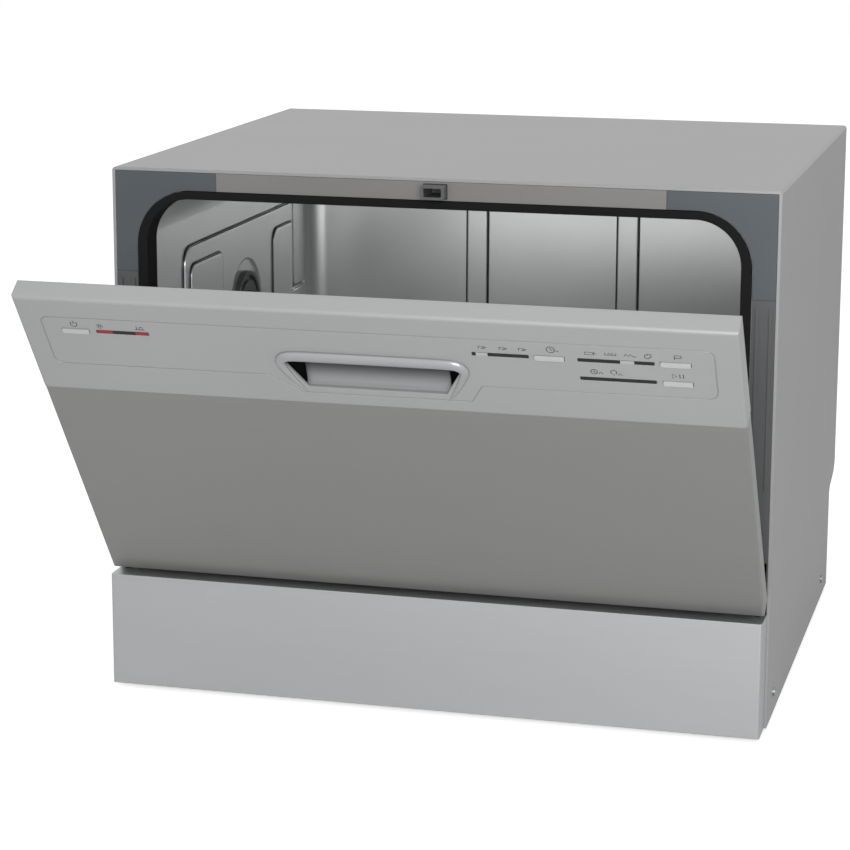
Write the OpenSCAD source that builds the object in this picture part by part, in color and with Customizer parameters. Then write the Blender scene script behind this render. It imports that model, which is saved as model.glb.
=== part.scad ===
// Countertop dishwasher. Millimetres, X to the right, Y to the back, Z up.
// Drawn with the front edge of the casing at Y = 0, then moved back by origin_y.

/* [Casing] */
// Width over the casing
body_w = 550; // [500:1:600]
// Depth of the casing, front edge to back
body_d = 472; // [430:1:520]
// Height from the standing plane to the casing top
body_h = 438; // [420:1:460]
// Height of the feet below the casing
foot_h = 4; // [2:0.5:8]
// Sheet thickness of the casing
skin_t = 1.2; // [0.8:0.1:2]
// How far the lower rear of the casing is set back
rear_step = 42; // [20:1:60]
// Height of the top edge of the base panel
base_top = 99; // [90:1:102]
// How far the base panel stands in front of the casing
base_out = 28; // [20:1:32]
// Height of the step in the rear of the casing
step_z = 92; // [80:1:96]

/* [Door] */
// Door angle from closed, in the drawn pose
door_open = 36.3; // [0:0.1:90]
// Gap from the base panel's top to the door's bottom edge
door_gap = 11; // [9:0.5:14]
// How far the closed door's top edge stays below the casing top
door_drop = 2; // [1:0.5:4]
// Front face of the closed door, ahead of the casing
door_out = 29; // [26:0.5:32]
// Depth of the outer door shell
shell_t = 17.4; // [15:0.1:18]
// Height of the control panel
panel_h = 100; // [80:1:120]
// Height of the door pivot
hinge_z = 119; // [116:0.5:122]
// Distance of the door pivot ahead of the casing
hinge_out = 15; // [14:0.5:16]

/* [Tub] */
// Room between the tub and the casing at each side
side_room = 29; // [28:1:40]
// Room between the tub's back wall and the casing's rear edge
back_room = 26; // [22:1:50]
// Room between the tub's ceiling and the casing top
roof_room = 17.5; // [14:0.5:24]
// Top face of the tub floor
tub_floor = 118; // [116:1:120]
// Corner radius at the tub opening
tub_r = 38; // [20:1:50]
// Sheet thickness of the tub
tub_t = 1; // [0.6:0.1:1.5]

/* [Rack] */
// Room between the rack's side wires and the tub wall
rack_room = 22; // [21:0.5:26]
// Distance of the rack's front wires from the casing's front edge
rack_front = 40; // [36:1:48]
// Room between the rack's rear wires and the tub's back wall
rack_gap = 42; // [24:1:60]

/* [Handle] */
// Sideways centre of the handle
handle_x = -2; // [-10:1:10]
// Half width of the handle opening at its top
handle_hw = 67; // [50:1:80]
// Half width of the handle opening at its bottom
handle_lw = 54; // [40:1:66]

/* [Fits] */
// Radial clearance of a running fit
run_c = 0.05; // [0.02:0.01:0.1]
// Clearance round a push button
button_c = 0.3; // [0.15:0.05:0.5]
// Seating gap between assembled pieces
seat_c = 0.2; // [0.1:0.05:0.3]

/* [Hidden] */
$fn = 48;
origin_y = 130;
hw = body_w / 2;
hy = -hinge_out;
door_hw = hw - 1;
door_top = body_h - door_drop;
door_bot = base_top + door_gap;
tub_hw = hw - side_room;
tub_back = body_d - back_room;
tub_top = body_h - roof_room;
rear_y = body_d - rear_step;
door_f = -door_out;
door_b = door_f + shell_t;
seam_z = door_top - panel_h;
in_b = -2;
// pressed liner of the door, which laps over the tub's opening
lin_hw = tub_hw + 12;
lin_top = tub_top + 0.1;
lin_bot = tub_floor - 4;
// centre of the spray arm, midway between door and back wall
hub_y = (tub_back + 2) / 2;
arm_l = tub_back - hub_y - 36;
rail_z = tub_floor + 22.4;
wheel_r = 11.4;
wheel_z = rail_z + run_c + wheel_r;
filt = [-62, hub_y - 24];
salt = [-160, 130];
disc = [hub_y + 22, 280];
inlet_x = -200;
drain_x = -140;
cord_x = 200;
port_z = 62;
hinge_x = hw - 12;
latch_z = door_top - 8.5;
corner_x = hw - 90;
corner_z = body_h - 86;
foot_x = hw - 39;
screw_ys = [40, rear_y - 50];
rear_screws = [45 - hw, -80, 80, hw - 45];
tray_z = foot_h + 6.2;
tray_pads = [[60, filt[1]], [100, filt[1]], [140, 100], [140, 196], [filt[0], filt[1] + 104],
    [inlet_x, rear_y - 23], [210, 148], [hinge_x - 3, 42], [3 - hinge_x, 42],
    [hinge_x - 6, 228], [6 - hinge_x, 228]];
rack_hw = tub_hw - rack_room;
rack_rear = tub_back - rack_gap;
rack_rods = [39 - rack_hw, -130, -78, -26, 26, 78, 130, rack_hw - 39];
rack_ys = [rack_front + 44 : 40 : rack_rear - 40];
wheel_ys = [rack_front + 30, rack_rear - 32];
comb_ys = [164, rack_rear - 80];
fold_y = (comb_ys[0] + comb_ys[1]) / 2;
cup_ys = [144, 304];

// ---- helpers ----
module box(x, y, z) {
    translate([x[0], y[0], z[0]])
        cube([x[1] - x[0], y[1] - y[0], z[1] - z[0]]);
}
module along_y(y0, y1) {
    translate([0, y1, 0])
        rotate([90, 0, 0])
            linear_extrude(y1 - y0)
                children();
}
module along_x(x0, x1) {
    translate([x0, 0, 0])
        rotate([90, 0, 90])
            linear_extrude(x1 - x0)
                children();
}
module along_z(z0, z1) {
    translate([0, 0, z0])
        linear_extrude(z1 - z0)
            children();
}
module cyl_x(x0, x1, y, z, r) {
    translate([x0, y, z])
        rotate([0, 90, 0])
            cylinder(h = x1 - x0, r = r);
}
module cyl_y(y0, y1, x, z, r) {
    translate([x, y0, z])
        rotate([-90, 0, 0])
            cylinder(h = y1 - y0, r = r);
}
module cyl_z(z0, z1, x, y, r) {
    translate([x, y, z0])
        cylinder(h = z1 - z0, r = r);
}
// a rectangle with its own radius at each corner: low left, low right, high right, high left
module rrect(a, b, r) {
    difference() {
        translate(a)
            square([b[0] - a[0], b[1] - a[1]]);
        for (k = [0 : 3])
            if (r[k] > 0)
                corner_cut(a, b, k, r[k]);
    }
}
module corner_cut(a, b, k, r) {
    sx = (k == 0 || k == 3) ? 1 : -1;
    sy = (k < 2) ? 1 : -1;
    px = (sx > 0) ? a[0] : b[0];
    py = (sy > 0) ? a[1] : b[1];
    difference() {
        translate([px - (sx > 0 ? 1 : r), py - (sy > 0 ? 1 : r)])
            square([r + 1, r + 1]);
        translate([px + sx * r, py + sy * r])
            circle(r);
    }
}
module rod(p, q, r) {
    d = q - p;
    l = norm(d);
    translate(p)
        rotate([0, acos(d[2] / l), atan2(d[1], d[0])])
            cylinder(h = l, r = r);
}
module wire(pts, r) {
    for (i = [0 : len(pts) - 2])
        rod(pts[i], pts[i + 1], r);
    for (i = [1 : len(pts) - 2])
        translate(pts[i])
            sphere(r);
}
module both() {
    children();
    mirror([1, 0, 0])
        children();
}
module cabinet() {
    translate([0, -origin_y, 0])
        children();
}
module door() {
    translate([0, hy - origin_y, hinge_z])
        rotate([door_open, 0, 0])
            translate([0, -hy, -hinge_z])
                children();
}

// ---- casing and base ----
// side view of the casing with its stepped rear
module side_view(i) {
    e = body_d - i;
    s = body_d - rear_step - i;
    polygon([[0, foot_h], [s, foot_h], [s, step_z + i / 2], [s + 4, step_z + 6 + i], [e - 8, step_z + 14 + i],
        [e, step_z + 22 + i / 2], [e, body_h + 1], [0, body_h + 1]]);
}
module outer_casing() {
    color([0.66, 0.67, 0.68])
    cabinet()
    difference() {
        intersection() {
            along_y(0, body_d)
                difference() {
                    rrect([-hw, foot_h], [hw, body_h], [0, 0, 3, 3]);
                    rrect([-hw + skin_t, foot_h - 1], [hw - skin_t, body_h - skin_t],
                        [0, 0, 1.8, 1.8]);
                }
            along_x(-hw, hw)
                side_view(0);
        }
        for (y = screw_ys)
            both()
                cyl_x(hw - 5, hw + 1, y, 22, 2.2);
    }
    color([0.66, 0.67, 0.68])
    cabinet()
        along_y(0, 9)
            difference() {
                rrect([-hw + skin_t - 0.1, foot_h], [hw - skin_t + 0.1, body_h - skin_t + 0.1],
                    [0, 0, 1.8, 1.8]);
                translate([-hw + 2.5, foot_h - 1])
                    square([body_w - 5, body_h - foot_h - 1.5]);
            }
}
module rear_panel() {
    e = body_d - 1.5;
    s = body_d - rear_step - 1.5;
    color([0.6, 0.61, 0.62])
    cabinet()
    difference() {
        along_x(-hw + 1.4, hw - 1.4)
            polygon([[s, 20], [s, step_z + 0.6], [s + 4.4, step_z + 7.4], [e - 7.6, step_z + 15.4],
                [e, step_z + 23], [e, body_h - 1.6],
                [e - 1, body_h - 1.6], [e - 1, step_z + 23.4], [e - 8.2, step_z + 16.6],
                [s + 3.7, step_z + 8.6], [s - 1, step_z + 1],
                [s - 1, 20]]);
        for (i = [0 : 8])
            for (x = [-60, 60])
                along_y(e - 3, e + 1)
                    rrect([x - 40, 190 + i * 12], [x + 40, 194 + i * 12], [2, 2, 2, 2]);
        cyl_y(s - 3, s + 1, inlet_x, port_z, 14.5);
        cyl_y(s - 3, s + 1, drain_x, port_z, 12.5);
        cyl_y(s - 3, s + 1, cord_x, port_z, 9.5);
        for (x = rear_screws)
            cyl_y(e - 3, e + 1, x, body_h - 10, 2);
    }
}
module base_tray() {
    fb = body_d - rear_step - 4;
    color([0.16, 0.16, 0.17])
    cabinet()
    difference() {
        union() {
            difference() {
                along_z(foot_h, 40)
                    rrect([-hw + 2.7, 2], [hw - 2.7, fb], [6, 6, 8, 8]);
                along_z(foot_h + 2.5, 41)
                    rrect([-hw + 5.2, 4.5], [hw - 5.2, fb - 2.5], [4, 4, 6, 6]);
            }
            for (p = tray_pads)
                box([p[0] - 11, p[0] + 11], [p[1] - 9, p[1] + 9], [foot_h + 1, tray_z - seat_c]);
            for (x = [-foot_x, foot_x])
                for (y = [36, fb - 34])
                    cyl_z(foot_h + 1, 24, x, y, 12);
        }
        for (x = [-foot_x, foot_x])
            for (y = [36, fb - 34])
                cyl_z(foot_h - 1, 25, x, y, 4);
        for (y = screw_ys)
            both()
                cyl_x(hw - 12, hw, y, 22, 2.2);
    }
}
module base_panel() {
    color([0.75, 0.76, 0.77])
    cabinet()
    difference() {
        union() {
            along_z(foot_h, base_top)
                difference() {
                    rrect([-hw + 2, -base_out], [hw - 2, 6], [2, 2, 0, 0]);
                    rrect([-hw + 3.6, -base_out + 1.6], [hw - 3.6, 7], [0.6, 0.6, 0, 0]);
                }
            box([-hw + 3, hw - 3], [-base_out + 1, -1], [base_top - 1.6, base_top]);
            box([-hw + 3, hw - 3], [-base_out + 1, -14], [foot_h, foot_h + 1.6]);
            for (x = [-200, 0, 200])
                box([x - 1, x + 1], [-base_out + 1, -6], [foot_h, base_top - 1]);
            for (x = [-120, 120])
                box([x - 10, x + 10], [-base_out + 1, 1.8], [24, 27]);
        }
        box([-hw, hw], [-0.4, 10], [0, base_top + 1]);
        both()
            box([hinge_x + 0.4, hinge_x + 5.2], [-8, 1], [base_top - 4, base_top + 1]);
    }
    color([0.75, 0.76, 0.77])
    cabinet()
        for (x = [-120, 120])
            box([x - 10, x + 10], [-1, 1.8], [24, 27]);
}
module levelling_feet() {
    fb = body_d - rear_step - 4;
    color([0.12, 0.12, 0.12])
    cabinet()
        for (x = [-foot_x, foot_x])
            for (y = [36, fb - 34]) {
                cyl_z(0, foot_h - seat_c, x, y, 15);
                cyl_z(1, 22, x, y, 4 - run_c);
            }
}
module front_sill() {
    color([0.2, 0.21, 0.22])
    cabinet()
    difference() {
        union() {
            box([-hw + 2.8, hw - 2.8], [0.3, 1.3], [base_top - 12, tub_floor - 5]);
            box([6 - tub_hw, tub_hw - 6], [0.3, 1.3], [tub_floor - 6, tub_floor + 12.8]);
            box([6 - tub_hw, tub_hw - 6], [1.2, 26], [base_top - 12, base_top - 10.8]);
        }
        both()
            box([hinge_x - 6.6, hinge_x + 11], [-2, 4], [base_top - 14, hinge_z - 4]);
    }
}

// ---- tub ----
module tub_form(i, y0) {
    intersection() {
        along_y(y0, tub_back + tub_t - i)
            rrect([-tub_hw - tub_t + i, tub_floor - tub_t + i],
                [tub_hw + tub_t - i, tub_top + tub_t - i],
                [22 - i, 22 - i, tub_r + 1 - i, tub_r + 1 - i]);
        along_z(tub_floor - 28, tub_top + 9.5)
            rrect([-tub_hw - tub_t + i, -60], [tub_hw + tub_t - i, tub_back + tub_t - i],
                [0, 0, 20 - i, 20 - i]);
        along_x(-tub_hw - 14, tub_hw + 14)
            rrect([-60, tub_floor - tub_t + i], [tub_back + tub_t - i, tub_top + tub_t - i],
                [0, 20 - i, 20 - i, 0]);
    }
}
// pressed forms on a side wall, drawn as thin raised fields
module wall_forms() {
    difference() {
        along_x(-tub_hw - 0.5, -tub_hw + 2.2)
            rrect([85, tub_floor + 56], [tub_back - 14, tub_top - 63.5], [14, 14, 6, 16]);
        cyl_x(-tub_hw - 2, -tub_hw + 3, disc[0], disc[1], 44);
        along_x(-tub_hw - 2, -tub_hw + 3)
            rrect([tub_back - 61, tub_top - 149.5], [tub_back - 22, tub_top - 60.5], [3, 3, 0, 0]);
    }
    along_x(-tub_hw - 0.5, -tub_hw + 4)
        rrect([96, tub_floor + 66], [178, tub_top - 79.5], [8, 8, 8, 10]);
    along_x(-tub_hw - 0.5, -tub_hw + 4)
        rrect([tub_back - 122, tub_floor + 66], [tub_back - 66, tub_top - 81.5], [8, 8, 4, 12]);
    along_x(-tub_hw - 0.5, -tub_hw + 3.4)
        rrect([tub_back - 58, tub_top - 144.5], [tub_back - 26, tub_top - 1.5], [3, 3, 0, 0]);
}
module tub_shell() {
    color([0.72, 0.73, 0.74])
    cabinet()
    difference() {
        union() {
            difference() {
                union() {
                    tub_form(0, 1.4);
                    along_y(1.4, 2.4)
                        rrect([-tub_hw - 20, tub_floor - 13], [tub_hw + 20, tub_top + 10.5],
                            [4, 4, 30, 30]);
                }
                tub_form(tub_t, -5);
            }
            both()
                wall_forms();
            for (x = [-74, 74])
                along_y(tub_back - 3, tub_back + 0.5)
                    rrect([x - 9.5, tub_floor + 14], [x + 9.5, tub_top - 12], [3, 3, 3, 3]);
        }
        cyl_z(tub_floor - 18, tub_floor + 7, 0, hub_y, 112);
        cyl_z(tub_floor - 18, tub_floor + 7, salt[0], salt[1], 25.2);
        cyl_x(-tub_hw - 3, -tub_hw + 4, disc[0], disc[1], 26.2);
        both()
            box([hinge_x - 7.6, hw], [0, 4], [hinge_z - 19, hinge_z + 23]);
        box([-11, 9], [0, 4], [latch_z - 6.1, latch_z + 6.5]);
    }
}
module opening_view(g, t) {
    rrect([-tub_hw - g, 60], [tub_hw + g, t], [0, 0, tub_r + g, tub_r + g]);
}
module tub_gasket() {
    color([0.05, 0.05, 0.055])
    cabinet() {
        along_y(-1.6, 1.3)
            intersection() {
                difference() {
                    opening_view(7.2, tub_top - 0.6);
                    opening_view(-1.2, tub_top - 7);
                }
                translate([-hw, tub_floor + 13])
                    square([body_w, body_h]);
            }
        along_y(1.2, 20)
            intersection() {
                difference() {
                    opening_view(-0.2, tub_top - 1);
                    opening_view(-1.2, tub_top - 7);
                }
                translate([-hw, tub_floor + 22.5])
                    square([body_w, body_h]);
            }
    }
}
module sill_seal() {
    color([0.05, 0.05, 0.055])
    cabinet() {
        box([8 - tub_hw, tub_hw - 8], [-0.7, 0.1], [tub_floor + 1, tub_floor + 14]);
        box([8 - tub_hw, tub_hw - 8], [-0.7, 3.5], [tub_floor + 13, tub_floor + 15.5]);
        box([20 - tub_hw, tub_hw - 20], [2.6, 3.5], [tub_floor + 1, tub_floor + 14]);
    }
}
module frame_piece(x0, x1, z0, z1) {
    along_y(0, 1.2)
        difference() {
            translate([x0, z0])
                square([x1 - x0, z1 - z0]);
            opening_view(7.6, tub_top - 0.2);
        }
}
module corner_plates() {
    color([0.3, 0.33, 0.36])
    cabinet()
        both()
            frame_piece(corner_x + seat_c, hw - 2.7, corner_z + seat_c, body_h - 2.7);
}
module top_trim() {
    color([0.62, 0.6, 0.58])
    cabinet()
    difference() {
        frame_piece(-corner_x, corner_x, tub_top - 0.2, body_h - 2.7);
        box([-11, 9], [-1, 3], [latch_z - 6.1, latch_z + 6.1]);
    }
}
module stile() {
    difference() {
        union() {
            frame_piece(tub_hw + 7.8, hw - 2.7, hinge_z + 23.4, corner_z);
            box([hinge_x - 7.4, hw - 2.7], [0, 1.2], [hinge_z - 5.8, hinge_z + 23.6]);
            along_y(-1.2, 0.2) {
                rrect([hinge_x - 6.2, corner_z - 102], [hinge_x - 3.4, corner_z - 6], [1, 1, 1, 1]);
                rrect([hinge_x + 4.4, corner_z - 152], [hinge_x + 7.2, corner_z - 6], [1, 1, 1, 1]);
            }
        }
        box([hinge_x - 6.8, hinge_x + 8.4], [-2, 4], [hinge_z - 7, hinge_z + 22]);
        cyl_y(-2, 4, hinge_x + 0.6, hinge_z + 49, 2.1);
    }
}
module side_stiles() {
    color([0.5, 0.51, 0.52])
    cabinet()
        both()
            stile();
}
module latch_socket() {
    color([0.2, 0.2, 0.21])
    cabinet()
    difference() {
        union() {
            along_y(-9.6, 22)
                rrect([-10.6, latch_z - 5.7], [8.6, latch_z + 5.7], [1.5, 1.5, 1.5, 1.5]);
            box([-20, 18], [3, 5], [latch_z - 5.7, latch_z + 5.7]);
        }
        along_y(-11, 18)
            rrect([-8.2, latch_z - 3.5], [6.2, latch_z + 3.5], [0.8, 0.8, 0.8, 0.8]);
    }
}
module breather_cap() {
    color([0.3, 0.31, 0.32])
    cabinet()
        translate([-tub_hw, disc[0], disc[1]])
            rotate([0, 90, 0]) {
                difference() {
                    union() {
                        translate([0, 0, 0.1])
                            cylinder(h = 5, r = 33);
                        translate([0, 0, -8])
                            cylinder(h = 9, r = 26);
                    }
                    translate([0, 0, 2.6])
                        difference() {
                            cylinder(h = 5, r = 29);
                            translate([0, 0, -1])
                                cylinder(h = 7, r = 24);
                        }
                    translate([0, 0, -9])
                        cylinder(h = 11.5, r = 21);
                    for (a = [0 : 30 : 330])
                        rotate([0, 0, a])
                            translate([13, 0, 0])
                                cylinder(h = 8, r = 2.4);
                }
            }
}
module rail() {
    difference() {
        union() {
            box([tub_hw - 16, tub_hw - 0.2], [24, tub_back - 22], [rail_z - 1.5, rail_z]);
            box([tub_hw - 1.7, tub_hw - 0.2], [24, tub_back - 22], [rail_z - 1.5, rail_z + 25]);
            box([tub_hw - 8, tub_hw - 0.2], [24, tub_back - 22], [rail_z + 24, rail_z + 25.2]);
            box([tub_hw - 16, tub_hw - 0.2], [tub_back - 24, tub_back - 22], [rail_z - 1.5, rail_z + 12]);
        }
        for (y = [90, tub_back - 106])
            cyl_x(tub_hw - 4, tub_hw + 1, y, rail_z + 12, 2.2);
    }
}
module rack_rails() {
    color([0.7, 0.71, 0.72])
    cabinet()
        both()
            rail();
}

// ---- water works under and on the tub floor ----
module sump() {
    color([0.13, 0.13, 0.14])
    cabinet()
    difference() {
        union() {
            cyl_z(99, tub_floor - 1.2, 0, hub_y, 122);
            cyl_z(46, 100, filt[0], filt[1], 42);
            cyl_z(98, 127.6, 0, hub_y, 14);
            cyl_z(127, 152, 0, hub_y, 10);
            cyl_z(80, 99, 0, hub_y, 8);
            cyl_x(-24, -6, filt[1], 66, 12);
            cyl_y(filt[1] + 36, filt[1] + 62, filt[0], 66, 10);
        }
        difference() {
            union() {
                cyl_z(113.8, 125, 0, hub_y, 110);
                cyl_z(102, 125, 0, hub_y, 104);
            }
            cyl_z(100, 128, 0, hub_y, 14);
        }
        cyl_z(49, 125, filt[0], filt[1], 38);
        cyl_z(78, 160, 0, hub_y, 5.6);
        cyl_x(-30, 0, filt[1], 66, 8);
        cyl_y(filt[1] + 30, filt[1] + 70, filt[0], 66, 7);
    }
}
module flat_filter() {
    color([0.6, 0.61, 0.62])
    cabinet()
    difference() {
        cyl_z(114, 115.2, 0, hub_y, 109.8);
        cyl_z(110, 120, 0, hub_y, 14.3);
        cyl_z(110, 120, filt[0], filt[1], 36.4);
        for (a = [0 : 15 : 345])
            for (r = [96, 84])
                translate([r * cos(a), hub_y + r * sin(a), 110])
                    cylinder(h = 10, r = 2.6);
    }
}
module filter_insert() {
    color([0.22, 0.23, 0.25])
    cabinet()
        translate([filt[0], filt[1], 0])
        difference() {
            union() {
                cyl_z(52, 118, 0, 0, 34);
                cyl_z(115.6, 118.6, 0, 0, 38);
                for (a = [0, 180])
                    rotate([0, 0, a])
                        box([30.5, 36], [-5, 5], [118, 123]);
            }
            cyl_z(54, 125, 0, 0, 30);
            for (a = [0 : 45 : 315])
                rotate([0, 0, a])
                    box([28, 36], [-4, 4], [60, 106]);
        }
}
module coarse_filter() {
    color([0.35, 0.36, 0.38])
    cabinet()
        translate([filt[0], filt[1], 0])
        difference() {
            union() {
                cyl_z(70, 121, 0, 0, 26);
                cyl_z(118.8, 121, 0, 0, 29.4);
            }
            cyl_z(72, 122, 0, 0, 24);
            for (a = [0 : 60 : 300])
                rotate([0, 0, a])
                    box([22, 28], [-4, 4], [77, 108]);
        }
    color([0.35, 0.36, 0.38])
    cabinet()
        translate([filt[0], filt[1], 0])
            box([-25, 25], [-1.5, 1.5], [114, 124]);
}
module salt_cap() {
    color([0.85, 0.86, 0.87])
    cabinet()
        translate([salt[0], salt[1], 0]) {
            cyl_z(120.6, 124, 0, 0, 27);
            cyl_z(108, 121, 0, 0, 20 - run_c);
            box([-22, 22], [-2.5, 2.5], [123.5, 126.4]);
        }
}
module water_softener() {
    color([0.8, 0.81, 0.82])
    cabinet()
    difference() {
        union() {
            along_z(24, 104)
                rrect([19 - hinge_x, 70], [salt[0] + 37, 190], [10, 10, 10, 10]);
            cyl_z(100, 120.4, salt[0], salt[1], 25);
            cyl_z(112, tub_floor - 1.2, salt[0], salt[1], 32);
            cyl_y(188, 206, inlet_x, port_z, 8);
        }
        cyl_z(60, 125, salt[0], salt[1], 20);
        cyl_y(180, 210, inlet_x, port_z, 5);
    }
}
module spray_arm() {
    color([0.55, 0.57, 0.6])
    cabinet()
        translate([0, hub_y, 0])
            rotate([0, 0, 100])
            difference() {
                union() {
                    cyl_z(128.4, 152, 0, 0, 22);
                    cyl_z(152, 154.4, 0, 0, 14);
                    for (k = [0, 180])
                        rotate([0, 0, k]) {
                            along_z(134, 145) {
                                polygon([[-4, -17], [arm_l, -11], [arm_l, 11], [-4, 17]]);
                                translate([arm_l, 0])
                                    circle(11);
                            }
                            along_z(145, 147)
                                polygon([[0, -6], [arm_l - 6, -3], [arm_l - 6, 3], [0, 6]]);
                        }
                }
                cyl_z(120, 152.4, 0, 0, 10 + run_c);
                for (r = [50, 88, 126, arm_l - 26, arm_l])
                    for (k = [1, -1])
                        translate([k * r, k * 3, 143])
                            cylinder(h = 6, r = 1.6);
            }
}
module circulation_pump() {
    y = filt[1];
    color([0.3, 0.31, 0.33])
    cabinet()
    difference() {
        union() {
            cyl_x(14, 34, y, 56, 40);
            cyl_x(34, 44, y, 56, 33);
            cyl_x(44, 112, y, 56, 36);
            cyl_x(112, 117, y, 56, 14);
            for (x = [60, 100])
                box([x - 4, x + 4], [y - 16, y + 16], [tray_z, 34]);
            cyl_x(-10, 15, y, 66, 8);
            cyl_y(y + 30, y + 64, 24, 60, 8);
        }
        cyl_x(-12, 20, y, 66, 5);
        cyl_y(y + 42, y + 70, 24, 60, 5);
    }
}
module flow_heater() {
    color([0.7, 0.7, 0.72])
    cabinet() {
        cyl_y(70, 226, 140, 60, 21);
        cyl_y(56, 71, 140, 60, 8);
        cyl_y(225, 244, 140, 60, 8);
        for (y = [100, 196])
            box([132, 148], [y - 5, y + 5], [tray_z, 42]);
        for (y = [120, 180])
            box([158, 172], [y - 7, y + 7], [52, 68]);
    }
}
module drain_pump() {
    y = filt[1];
    color([0.14, 0.14, 0.15])
    cabinet() {
        cyl_y(y + 62, y + 82, filt[0], 66, 24);
        cyl_y(y + 80, y + 130, filt[0], 66, 19);
        box([filt[0] - 10, filt[0] + 10], [y + 96, y + 112], [tray_z, 50]);
        cyl_x(filt[0] - 44, filt[0] - 20, y + 72, port_z, 9);
    }
}
module inlet_valve() {
    y = rear_y;
    color([0.86, 0.87, 0.88])
    cabinet()
    difference() {
        union() {
            cyl_y(y - 2, y + 20, inlet_x, port_z, 13.2);
            cyl_y(y - 6, y - 2.6, inlet_x, port_z, 19);
            cyl_y(y - 26, y - 6, inlet_x, port_z, 13);
            box([inlet_x - 14, inlet_x + 14], [y - 34, y - 10], [50, 92]);
            cyl_y(y - 4, y, inlet_x, port_z, 14);
            cyl_y(y - 46, y - 33, inlet_x, port_z, 8);
            box([inlet_x - 10, inlet_x + 10], [y - 26, y - 20], [tray_z, 52]);
        }
        cyl_y(y - 6, y + 30, inlet_x, port_z, 9.5);
    }
}
module drain_elbow() {
    y = rear_y;
    color([0.14, 0.14, 0.15])
    cabinet()
    difference() {
        union() {
            cyl_y(y - 2, y + 26, drain_x, port_z, 10);
            cyl_y(y - 6, y - 2.6, drain_x, port_z, 16);
            cyl_y(y - 4, y, drain_x, port_z, 12);
            cyl_y(y - 30, y - 5, drain_x, port_z, 9);
        }
        cyl_y(y - 40, y + 30, drain_x, port_z, 7);
    }
}
module cord_gland() {
    y = rear_y;
    color([0.08, 0.08, 0.08])
    cabinet()
    difference() {
        union() {
            cyl_y(y - 6, y - 2.6, cord_x, port_z, 13);
            cyl_y(y - 4, y, cord_x, port_z, 9);
            cyl_y(y - 1.2, y + 6, cord_x, port_z, 12);
        }
        cyl_y(y - 10, y + 10, cord_x, port_z, 4);
    }
}
module hose(pts, ro, ri) {
    n = len(pts) - 1;
    a = (pts[0] - pts[1]) / norm(pts[0] - pts[1]);
    b = (pts[n] - pts[n - 1]) / norm(pts[n] - pts[n - 1]);
    difference() {
        wire(pts, ro);
        rod(pts[0] + a, pts[0] - a * 8, ri);
        rod(pts[n] + b, pts[n] - b * 8, ri);
    }
}
module inner_hoses() {
    y = filt[1];
    color([0.1, 0.1, 0.1])
    cabinet() {
        hose([[inlet_x, 198, port_z], [inlet_x, rear_y - 38, port_z]], 10.4, 8);
        hose([[filt[0] - 36, y + 72, port_z], [drain_x, y + 72, port_z],
            [drain_x, rear_y - 22, port_z]], 11.6, 9);
        hose([[24, y + 56, 60], [24, y + 90, 60], [140, y + 90, 60], [140, 236, 60]], 10.4, 8);
        hose([[140, 64, 60], [140, 36, 60], [140, 36, 28], [0, 36, 28], [0, hub_y, 28],
            [0, hub_y, 88]], 10.4, 8);
    }
}
module flood_float() {
    color([0.85, 0.85, 0.83])
    cabinet()
        translate([210, 120, 0])
        difference() {
            cyl_z(foot_h + 3.2, 26, 0, 0, 18);
            cyl_z(0, 40, 0, 0, 4 + run_c);
        }
}
module float_switch() {
    color([0.1, 0.1, 0.1])
    cabinet()
        translate([210, 120, 0]) {
            cyl_z(foot_h + 2.6, 44, 0, 0, 4);
            box([-14, 14], [-9, 9], [40, 62]);
            box([-6, 6], [8, 30], [56, 60]);
            box([-6, 6], [26, 30], [tray_z, 60]);
        }
}
module coil(r, t, n, l) {
    rotate([-90, 0, 0])
        rotate_extrude()
            polygon(concat([[r - t, 0]], [for (i = [0 : n - 1], k = [0, 1])
                [r + (k == 0 ? 0.2 : 1) * t, (i + k / 2) * l / n]], [[r + 0.2 * t, l], [r - t, l]]));
}
module door_springs() {
    color([0.45, 0.46, 0.47])
    cabinet()
        both()
            translate([hinge_x - 6, 0, 0]) {
                translate([0, 120, 84])
                    coil(5.6, 1.3, 26, 80);
                cyl_y(118, 122, 0, 84, 5);
                rod([0, 34, 92], [0, 120, 84], 1);
                cyl_y(198, 202, 0, 84, 5);
                cyl_y(200, 228, 0, 84, 1);
                cyl_z(tray_z, 90, 0, 228, 3);
            }
}
module hinge_brackets() {
    color([0.55, 0.55, 0.56])
    cabinet()
        both() {
            difference() {
                union() {
                    box([hinge_x - 1.8, hinge_x + 0.6], [hy, 3.5], [hinge_z - 6.4, hinge_z + 6.4]);
                    cyl_x(hinge_x - 1.8, hinge_x + 0.6, hy, hinge_z, 6.6);
                    box([hinge_x - 1.8, hinge_x + 0.6], [2.6, 44], [base_top - 30, hinge_z + 6.4]);
                    box([hinge_x - 5, hinge_x + 0.6], [38, 44], [tray_z, base_top - 29]);
                    cyl_x(hinge_x - 8, hinge_x - 1, 34, 98.4, 5);
                }
            }
            cyl_x(hinge_x - 6.6, hinge_x + 9.4, hy, hinge_z, 4 - run_c);
        }
}
module screw_y(x, y, z, s) {
    translate([x, y, z])
        rotate([s * 90, 0, 0]) {
            cylinder(h = 2, r = 3.6);
            translate([0, 0, -7])
                cylinder(h = 7.5, r = 1.8);
        }
}
module casing_screws() {
    color([0.8, 0.8, 0.8])
    cabinet() {
        for (x = rear_screws)
            screw_y(x, body_d - 1.4, body_h - 10, -1);
        both()
            for (y = screw_ys)
                difference() {
                    union() {
                        cyl_x(hw - skin_t - 6, hw + 0.4, y, 22, 2.1);
                        cyl_x(hw, hw + 1.6, y, 22, 3.6);
                    }
                    box([hw + 1, hw + 2], [y - 0.5, y + 0.5], [18, 26]);
                }
    }
}

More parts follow.
